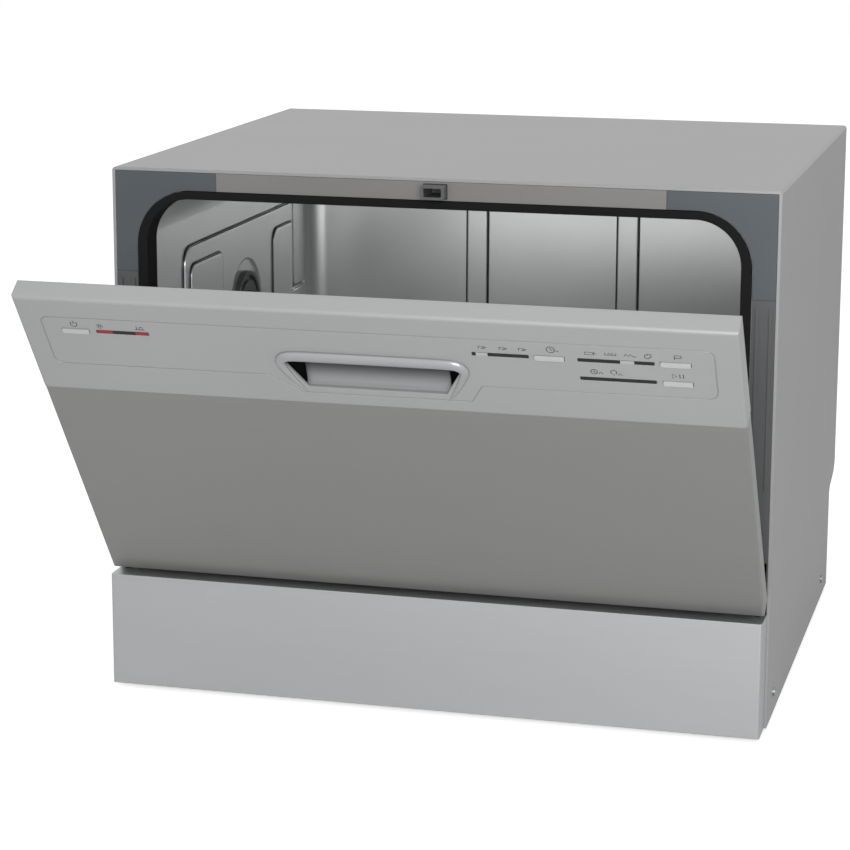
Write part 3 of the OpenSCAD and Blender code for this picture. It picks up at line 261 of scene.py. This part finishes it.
casing_enamel = baked_enamel("silver_casing_enamel", "9A9A9B", "A0A0A1", 0.42)
slate_enamel = baked_enamel("slate_corner_enamel", "4B5054", "52575B", 0.5, 0.15)
warm_enamel = baked_enamel("warm_grey_trim_enamel", "7A7977", "81807E", 0.45, 0.2)
stile_enamel = baked_enamel("grey_stile_enamel", "525354", "5A5B5C", 0.4, 0.3)
dark_enamel = baked_enamel("dark_sill_enamel", "2B2D2F", "333537", 0.5, 0.1)
panel_lacquer = lacquered("silver_lacquered_abs", "A0A1A1", "A8A9A9", 0.4, 0.2)
lip_lacquer = lacquered("gloss_silver_lacquered_abs", "9C9D9E", "A4A5A6", 0.24, 0.6)
# painted shade: the flap's colour runs from AAABAC low down to 2F3032 at its upper edge, under the
# lip
flap_lacquer = shaded_lacquer("satin_silver_abs_painted_shade", "2F3032", "AAABAC", 0.42, 0.1)
button_lacquer = lacquered("pale_silver_button_abs", "B8BABA", "C4C6C6", 0.32, 0.3, 0.0004)
door_sheet = brushed_sheet("brushed_door_steel", "959594", "9D9D9C", 0.42, "X", 0.75)
base_sheet = brushed_sheet("brushed_base_steel", "B4B5B6", "BDBEBF", 0.38, "X", 0.75)
tub_steel = polished_sheet("polished_stainless_tub", "D6D7D7", "E0E1E1", 0.27, 0.0022, 0.65)
fine_steel = polished_sheet("bright_stainless_parts", "A8AAAA", "BCBEBE", 0.22, 0.0005)
rear_zinc = zinc_plated("galvanised_rear_steel", "8E9092", "A0A2A4", 0.45, 0.008)
bright_zinc = zinc_plated("zinc_plated_steel", "9EA1A3", "B4B7B9", 0.34)
spring_wire = zinc_plated("oiled_spring_steel", "3A3B3D", "4C4D4F", 0.3, 0.002)
black_rubber = rubber("black_epdm_rubber", "09090A", "101011", 0.8)
black_plastic = moulded("black_polypropylene", "1B1B1D", "242426", 0.5)
latch_plastic = moulded("dark_grey_acetal", "3A3B3D", "444547", 0.38)
socket_plastic = moulded("mid_grey_acetal", "505153", "5B5C5E", 0.4)
basket_plastic = moulded("grey_polypropylene", "4B4F55", "565A60", 0.42)
white_plastic = moulded("white_polypropylene", "D8D8D6", "E4E4E2", 0.4)
wheel_plastic = moulded("natural_acetal", "D2D3D2", "DEDFDE", 0.34)
arm_plastic = moulded("pale_grey_polypropylene", "7E8388", "8A8F94", 0.4)
blue_plastic = moulded("blue_polypropylene", "1E3E66", "264A78", 0.38)
cup_plastic = moulded("charcoal_abs", "17181A", "202123", 0.45)
coated_wire = moulded("nylon_coated_wire", "7E8489", "8B9196", 0.34, 0.0009, 0.0002)
window_acrylic = clear_lens("smoked_acrylic", "101012", 0.12)
red_acrylic = clear_lens("red_acrylic_lens", "8E1F26", 0.2)
pale_acrylic = clear_lens("pale_acrylic_lens", "A9ADA8", 0.25)
printed_ink = moulded("dark_grey_screen_ink", "232426", "2B2C2E", 0.5, 0.0004, 0.0)
# the edges of the pressed forms look dark in the photograph, so their beads are drawn dark: a
# painted dark reflection, not the steel's own colour
swage_steel = zinc_plated("swage_beads_painted_reflection", "37393B", "424446", 0.35, 0.02)
board_mask = board_green("green_solder_mask", "1B4F2E", "24653B")

finishes = {
    casing_enamel: ["outer_casing"],
    slate_enamel: ["corner_plates"],
    warm_enamel: ["top_trim"],
    stile_enamel: ["side_stiles"],
    dark_enamel: ["front_sill"],
    panel_lacquer: ["control_panel"],
    lip_lacquer: ["handle_bezel"],
    flap_lacquer: ["handle_lever"],
    button_lacquer: ["power_button", "delay_button", "program_button", "start_button"],
    door_sheet: ["door_panel"],
    base_sheet: ["base_panel"],
    tub_steel: ["tub_shell", "inner_door"],
    fine_steel: ["rack_rails", "flat_filter", "flow_heater"],
    rear_zinc: ["rear_panel"],
    bright_zinc: ["hinge_brackets", "hinge_arms", "casing_screws"],
    spring_wire: ["door_springs"],
    black_rubber: ["tub_gasket", "sill_seal", "levelling_feet", "inner_hoses", "cord_gland"],
    black_plastic: ["base_tray", "sump", "drain_pump", "drain_elbow", "float_switch", "door_lock",
                    "detergent_dispenser"],
    latch_plastic: ["latch_hook", "circulation_pump", "breather_cap"],
    socket_plastic: ["latch_socket"],
    basket_plastic: ["filter_insert", "coarse_filter", "cutlery_basket", "dispenser_lid"],
    white_plastic: ["salt_cap", "water_softener", "inlet_valve", "flood_float"],
    wheel_plastic: ["wheel_front_left", "wheel_front_right", "wheel_rear_left", "wheel_rear_right"],
    arm_plastic: ["spray_arm"],
    blue_plastic: ["rinse_cap"],
    cup_plastic: ["handle_cup"],
    coated_wire: ["dish_rack", "folding_tines", "cup_shelf"],
    window_acrylic: ["light_windows"],
    board_mask: ["control_board"],
}
for finish, names in finishes.items():
    for name in names:
        nodes[name].data.materials.clear()
        nodes[name].data.materials.append(finish)


# ---- making and placing a piece ----
def lay(obj, name, finish, place, body):
    """Puts a piece made at its closed-door or cabinet place, in millimetres, where it rides."""
    obj.name = obj.data.name = name
    obj.data.transform(place @ Matrix.Diagonal((MM, MM, MM, 1)) @ obj.matrix_basis)
    obj.matrix_basis = Matrix.Identity(4)
    obj.data.materials.clear()
    obj.data.materials.append(finish)
    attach(obj, body)


def round_bar(points, radius, facets, closed=False, tapers=None):
    """A round bar along points. It runs straight from point to point, or in a smooth curve where
    tapers give its thickness at each point as a share of the radius."""
    line = bpy.data.curves.new("bar", "CURVE")
    line.dimensions = "3D"
    line.bevel_depth, line.bevel_resolution, line.use_fill_caps = radius, facets, True
    part = line.splines.new("NURBS" if tapers else "POLY")
    part.points.add(len(points) - 1)
    for point, place in zip(part.points, points):
        point.co = (*place, 1)
    if tapers:
        for point, taper in zip(part.points, tapers):
            point.radius = taper
        part.order_u, part.resolution_u, part.use_endpoint_u = 4, 6, True
    part.use_cyclic_u = closed
    made = bpy.data.objects.new("bar", line)
    scene.collection.objects.link(made)
    return made


def one_mesh(bars):
    """Turns bars into meshes and joins them."""
    bpy.ops.object.select_all(action="DESELECT")
    for bar in bars:
        bar.select_set(True)
    bpy.context.view_layer.objects.active = bars[0]
    bpy.ops.object.convert(target="MESH")
    if len(bars) > 1:
        bpy.ops.object.join()
    return bpy.context.view_layer.objects.active


# ---- printed marks and lenses of the control panel ----
# Places on the panel are (x, distance below the door's top).
# A printed line is a round bar pressed flat to this share, with its middle just off the panel.
INK_WIDTH, INK_FLAT, INK_PROUD = 0.62, 0.12, 0.02
LENS_HEIGHT, LENS_DEPTH, LENS_EDGE, LENS_PROUD = 3.2, 0.4, 0.12, 0.05


def arc(x, u, r, a0, a1, n=18):
    """Points round (x, u), angles from the right upwards."""
    return [(x + r * math.cos(math.radians(a0 + (a1 - a0) * i / n)),
             u - r * math.sin(math.radians(a0 + (a1 - a0) * i / n))) for i in range(n + 1)]


def ring(x, u, r, n):
    """A closed circle of n points."""
    return arc(x, u, r, 0, 360, n)[:-1], True


def power_sign(x):
    """An open ring with a stroke, over the power button."""
    return [(arc(x, 26.6, 2.6, 125, 415), False), ([(x, 23.2), (x, 26.4)], False)]


def sun_sign(x, u):
    """A small ring with eight rays, over the first red light."""
    rays = []
    for k in range(8):
        c, s = math.cos(k * math.pi / 4), math.sin(k * math.pi / 4)
        rays.append(([(x + 1.8 * c, u + 1.8 * s), (x + 2.7 * c, u + 2.7 * s)], False))
    return [ring(x, u, 1.0, 10)] + rays


def salt_sign():
    """A stepped heap on a base line, over the second red light."""
    return [([(-180, 25.4), (-180, 29.2), (-177.6, 29.2), (-177.6, 26.4), (-175.4, 26.4),
              (-175.4, 29.2)], False),
            ([(-181.4, 29.2), (-174, 29.2)], False)]


def delay_sign(x, k):
    """A corner, a half circle and a stub, one for each step k of the start delay."""
    return [([(x - 2.6, 29.6), (x - 2.6, 27.2), (x - 0.6, 27.2)], False),
            (arc(x + 0.2, 28.3, 1.1, 90, -90, 8) + [(x - 0.8, 29.4)], False),
            ([(x + 2.0, 29.6), (x + 2.0, 27.4 + 0.3 * k), (x + 3.4, 28.4)], False)]


def clock_sign():
    """A clock face with a pointer, over the delay button."""
    return [ring(136.4, 26.9, 3.0, 20),
            ([(136.4, 25.0), (136.4, 26.9), (138.0, 27.6)], False),
            ([(140.2, 27.8), (141.2, 28.8), (142.2, 27.8)], False)]


def programme_signs():
    """A pot, a plate with a meal, waves and a turning arrow, over the first programme lights."""
    pot = [(161.4, 27.3), (167.8, 27.3), (167.8, 29.9), (161.4, 29.9)]
    return [(pot, True), ([(166.8, 28.6), (169.6, 28.6)], False),
            ([(176, 27.2), (176, 29.4), (184, 29.4), (184, 27.2)], False),
            ([(178, 28.4), (179, 27.2), (180, 28.4), (181, 27.2), (182, 28.4)], False),
            ([(190, 29.6), (191.4, 27.4), (193, 29.6), (194.6, 27.4), (196.2, 29.6),
              (198.6, 29.6)], False),
            (arc(206.6, 28.8, 2.0, 60, 360, 12), False),
            ([(206.6, 26.2), (209.4, 26.2), (209.4, 29.6)], False)]


def flag_sign():
    """A flag, over the programme button."""
    return [([(226.2, 30.4), (226.2, 26.2), (230.6, 26.2), (231.4, 27.4), (230.6, 28.8),
              (226.2, 28.8)], False)]


def lower_signs():
    """A clock and a drop, each with a small hat, over the second row of programme lights."""
    return [ring(166.2, 47.8, 2.4, 16), ([(166.2, 46.4), (166.2, 47.8), (167.4, 48.6)], False),
            ([(169.4, 49.8), (171.0, 47.8), (172.6, 49.8)], False),
            (arc(180.6, 47.4, 2.2, -60, 240, 14), False), ([(180.6, 49.6), (180.6, 50.8)], False),
            ([(183.6, 50.4), (185.2, 48.6), (186.8, 50.4)], False)]


def start_pause_sign():
    """A triangle and two bars, over the start button."""
    return [([(223.2, 45.8), (226.4, 48.0), (223.2, 50.2)], True),
            ([(228.6, 45.8), (228.6, 50.2)], False), ([(231.2, 45.8), (231.2, 50.2)], False)]


def printed_marks():
    """The pictograms over the buttons and lights, as the ink lines a screen printer lays down."""
    signs = power_sign(-230.2) + sun_sign(-209.5, 27.4) + salt_sign()
    for k, x in enumerate((85.5, 101.0, 115.4)):
        signs += delay_sign(x, k)
    signs += clock_sign() + programme_signs() + flag_sign() + lower_signs() + start_pause_sign()
    marks = one_mesh([round_bar([(x, 0, DOOR_TOP - u) for x, u in points], INK_WIDTH / 2, 0,
                                closed) for points, closed in signs])
    for v in marks.data.vertices:
        v.co.y = DOOR_FACE - INK_PROUD + INK_FLAT * v.co.y
    lay(marks, "printed_marks", printed_ink, DOOR, "door")


def lens(name, finish, x, u, w):
    """A coloured lens let into a light window: a bar with rounded edges, 0.15 mm proud."""
    bpy.ops.object.select_all(action="DESELECT")
    bpy.ops.mesh.primitive_cube_add(size=1, location=(x, DOOR_FACE - LENS_PROUD, DOOR_TOP - u))
    bar = bpy.context.active_object
    bar.scale = (w, LENS_DEPTH, LENS_HEIGHT)
    bpy.ops.object.transform_apply(location=False, rotation=False, scale=True)
    bpy.ops.object.mode_set(mode="EDIT")
    bpy.ops.mesh.select_all(action="SELECT")
    bpy.ops.mesh.bevel(offset=LENS_EDGE, segments=2, affect="EDGES")
    bpy.ops.object.mode_set(mode="OBJECT")
    lay(bar, name, finish, DOOR, "door")


# ---- handle ----
# The lip is a round bar, pressed to these shares in front of the panel and behind its face.
LIP_RADIUS, LIP_FRONT, LIP_BACK = 5.0, 0.8, 0.1
# The flap: half its width, its upper edge below the door's top, its height, front, depth, sheet.
FLAP_HALF, FLAP_TOP, FLAP_HEIGHT = 56, 49, 37.6
FLAP_FRONT, FLAP_DEPTH, FLAP_SHEET, FLAP_EDGE, FLAP_CUTS = -27.3, 9.2, 1.8, 0.5, 28
AXLE_RADIUS, AXLE_LENGTH, AXLE_Y, AXLE_BELOW = 2, 154, -24, 86


def handle_lip():
    """The raised lip round the handle: a half-round swage bent round three sides of the opening,
    which runs out into the panel at the lower corners."""
    # right half: (from the handle's middle, distance below the door's top, share of the radius)
    half = [(0, 48.2, 1.0), (58, 48.2, 1.0), (66, 49.2, 0.96), (71, 53.6, 0.86), (70.5, 60, 0.72),
            (64.5, 73, 0.5), (57.5, 85, 0.22), (55, 88.5, 0.1)]
    whole = [(-x, u, r) for x, u, r in half[:0:-1]] + half
    lip = one_mesh([round_bar([(HANDLE_X + x, 0, DOOR_TOP - u) for x, u, r in whole], LIP_RADIUS, 6,
                              tapers=[r for x, u, r in whole])])
    for v in lip.data.vertices:
        v.co.y = DOOR_FACE + v.co.y * (LIP_FRONT if v.co.y < 0 else LIP_BACK)
    bpy.ops.object.shade_smooth()
    lay(lip, "handle_lip", lip_lacquer, DOOR, "door")
    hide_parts("handle_bezel")


def handle_flap():
    """The sprung flap of the handle: a sheet that starts deep under the lip and curves out to the
    lower edge, on its axle."""
    bpy.ops.object.select_all(action="DESELECT")
    bpy.ops.mesh.primitive_cylinder_add(vertices=32, radius=AXLE_RADIUS, depth=AXLE_LENGTH,
                                        rotation=(0, math.pi / 2, 0),
                                        location=(HANDLE_X, AXLE_Y, DOOR_TOP - AXLE_BELOW))
    axle = bpy.context.active_object
    bpy.ops.mesh.primitive_grid_add(x_subdivisions=FLAP_CUTS, y_subdivisions=FLAP_CUTS, size=2)
    flap = bpy.context.active_object
    for v in flap.data.vertices:
        turn = (1 - v.co.y) * math.pi / 4
        v.co = (HANDLE_X + FLAP_HALF * v.co.x, FLAP_FRONT + FLAP_DEPTH * math.cos(turn),
                DOOR_TOP - FLAP_TOP - FLAP_HEIGHT * math.sin(turn))
    thick = flap.modifiers.new("sheet", "SOLIDIFY")
    thick.thickness, thick.offset = FLAP_SHEET, -1.0
    round_edge = flap.modifiers.new("edge", "BEVEL")
    round_edge.width, round_edge.segments, round_edge.limit_method = FLAP_EDGE, 2, "ANGLE"
    bpy.ops.object.modifier_apply(modifier="sheet")
    bpy.ops.object.modifier_apply(modifier="edge")
    axle.select_set(True)
    bpy.ops.object.join()
    bpy.ops.object.shade_smooth_by_angle(angle=math.radians(40))
    lay(flap, "handle_flap", flap_lacquer, DOOR, "handle_lever")
    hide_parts("handle_lever")


# ---- dark beads of the tub: painted reflections along its pressed forms ----
BEAD_RADIUS = 1.3
# Where a bead's middle lies off the tub's own faces: outer and inner fields of a side, back ribs.
OUTER_OFF, INNER_OFF, RIB_OFF = 0.2, 2.3, 1.2
RIB_EDGES, RIB_ENDS = (-84, -64, 64, 84), (134, 406)


def corner(y, z, r, a):
    """A quarter circle round (y, z) that starts at angle a."""
    turns = [math.radians(a + 15 * k) for k in range(7)]
    return [(y + r * math.cos(t), z + r * math.sin(t)) for t in turns]


def field(low, high, radii):
    """The outline of a pressed field on a side wall, with a radius for each corner."""
    (y0, z0), (y1, z1), (a, b, c, d) = low, high, radii
    return (corner(y0 + a, z0 + a, a, 180) + corner(y1 - b, z0 + b, b, 270)
            + corner(y1 - c, z1 - c, c, 0) + corner(y0 + d, z1 - d, d, 90))


def swages():
    """Dark beads along the pressed fields of the side walls and the ribs of the back wall, a
    painted dark reflection of their edges.
    """
    outer, inner = TUB_HALF - OUTER_OFF, TUB_HALF - INNER_OFF
    fields = [(outer, field((84, 173), (433, 358), (15, 15, 7, 17))),
              (inner, field((95, 183), (179, 342), (9, 9, 9, 11))),
              (inner, field((323, 183), (381, 340), (9, 9, 5, 13))),
              (outer, field((387, 275), (421, 418), (4, 4, 3, 3)))]
    beads = [round_bar([(side * x, y, z) for y, z in path], BEAD_RADIUS, 3, True)
             for side in (-1, 1) for x, path in fields]
    beads += [round_bar([(x, TUB_BACK - RIB_OFF, z) for z in RIB_ENDS], BEAD_RADIUS, 3)
              for x in RIB_EDGES]
    made = one_mesh(beads)
    bpy.ops.object.shade_smooth()
    lay(made, "wall_swage_painted_reflections", swage_steel, CABINET, "cabinet")


swages()
handle_flap()
printed_marks()
lens("lens_red_left", red_acrylic, -206.5, 33.5, 12.6)
lens("lens_red_right", red_acrylic, -177.0, 33.5, 10.0)
lens("lens_pale_delay", pale_acrylic, 84.5, 35.5, 8.8)
lens("lens_pale_programme", pale_acrylic, 191.5, 36.0, 10.2)
handle_lip()


# ---- camera, lamps and surroundings ----
# The camera that the corners of the casing and the open door give, lens and shift in pixels.
CAMERA_PLACE = (0.5221, -2.1379, 0.7123)
CAMERA_YAW, CAMERA_PITCH, CAMERA_ROLL = 14.813, 11.974, 0.147
PICTURE, FOCAL, SHIFT, SENSOR = 850, 2626.0, -42.5, 36.0
# Share of the white world that lights the object, while the camera and the gloss see all of it.
WORLD_LIGHT = 0.49
# Lift of the pale floor for the camera alone, so that it clips to white outside the shadow.
FLOOR_LIFT = 0.6


def look():
    """The photograph's viewing angle."""
    yaw, pitch, roll = (math.radians(a) for a in (CAMERA_YAW, CAMERA_PITCH, CAMERA_ROLL))
    ahead = Vector((-math.sin(yaw) * math.cos(pitch), math.cos(yaw) * math.cos(pitch),
                    -math.sin(pitch)))
    level = ahead.cross(Vector((0, 0, 1))).normalized()
    upright = level.cross(ahead)
    right = math.cos(roll) * level + math.sin(roll) * upright
    up = math.cos(roll) * upright - math.sin(roll) * level
    data = bpy.data.cameras.new("camera")
    data.sensor_width, data.lens = SENSOR, FOCAL / PICTURE * SENSOR
    data.shift_y = SHIFT / PICTURE
    data.clip_start, data.clip_end = 0.05, 50
    camera = bpy.data.objects.new("camera", data)
    camera.matrix_world = (Matrix.Translation(CAMERA_PLACE)
                           @ Matrix((right, up, -ahead)).transposed().to_4x4())
    scene.collection.objects.link(camera)
    scene.camera = camera


def lamp(name, place, target, size, power, spread=180):
    """A soft rectangular lamp of so many watts, with its beam's spread in degrees."""
    data = bpy.data.lights.new(name, "AREA")
    data.shape, data.size, data.size_y, data.energy = "RECTANGLE", size[0], size[1], power
    data.spread = math.radians(spread)
    made = bpy.data.objects.new(name, data)
    made.location = place
    made.rotation_euler = (Vector(target) - Vector(place)).to_track_quat("-Z", "Y").to_euler()
    scene.collection.objects.link(made)


def white_world():
    """A white studio that lights the object at a plain level."""
    world = bpy.data.worlds.new("studio")
    scene.world = world
    world.use_nodes = True
    tree = world.node_tree
    tree.nodes.clear()
    rays = add(tree, "ShaderNodeLightPath")
    seen = add(tree, "ShaderNodeMath", {"operation": "MAXIMUM"},
               {0: rays.outputs["Is Camera Ray"], 1: rays.outputs["Is Glossy Ray"]})
    seen = add(tree, "ShaderNodeMath", {"operation": "MAXIMUM"},
               {0: seen.outputs[0], 1: rays.outputs["Is Transmission Ray"]})
    level = between(tree, seen.outputs[0], WORLD_LIGHT, 1.0)
    sky = add(tree, "ShaderNodeBackground", {"Color": (1, 1, 1, 1)}, {"Strength": level})
    add(tree, "ShaderNodeOutputWorld", links={"Surface": sky.outputs["Background"]})


def pale_floor():
    """The table that the object stands on, which keeps its shadow."""
    bpy.ops.object.select_all(action="DESELECT")
    bpy.ops.mesh.primitive_plane_add(size=14, location=(0, 0, 0))
    floor = bpy.context.active_object
    floor.name = "studio_floor"
    made, tree, shader, _ = start("studio_floor", "F4F4F4", 0.0, 0.8)
    rays = add(tree, "ShaderNodeLightPath")
    seen = add(tree, "ShaderNodeMath", {"operation": "MULTIPLY", 1: FLOOR_LIFT},
               {0: rays.outputs["Is Camera Ray"]})
    shader.inputs["Emission Color"].default_value = (1, 1, 1, 1)
    tree.links.new(seen.outputs[0], shader.inputs["Emission Strength"])
    floor.data.materials.append(made)


look()
white_world()
pale_floor()
lamp("soft_top", (-0.4, -0.5, 2.6), (0, 0, 0.3), (2.4, 2.4), 4)
lamp("soft_front", (0.8, -2.3, 0.85), (0, 0, 0.2), (1.3, 1.0), 33)
# a small lamp behind the open door, so that the tub's walls are as bright as in the photograph
lamp("soft_fill", (0, -0.15, 0.285), (0, 0.316, 0.32), (0.42, 0.06), 0.066, 130)
scene.view_settings.view_transform = "Standard"
# enough bounces for the walls of the tub to see out of its mouth
scene.cycles.max_bounces, scene.cycles.diffuse_bounces, scene.cycles.glossy_bounces = 16, 8, 12
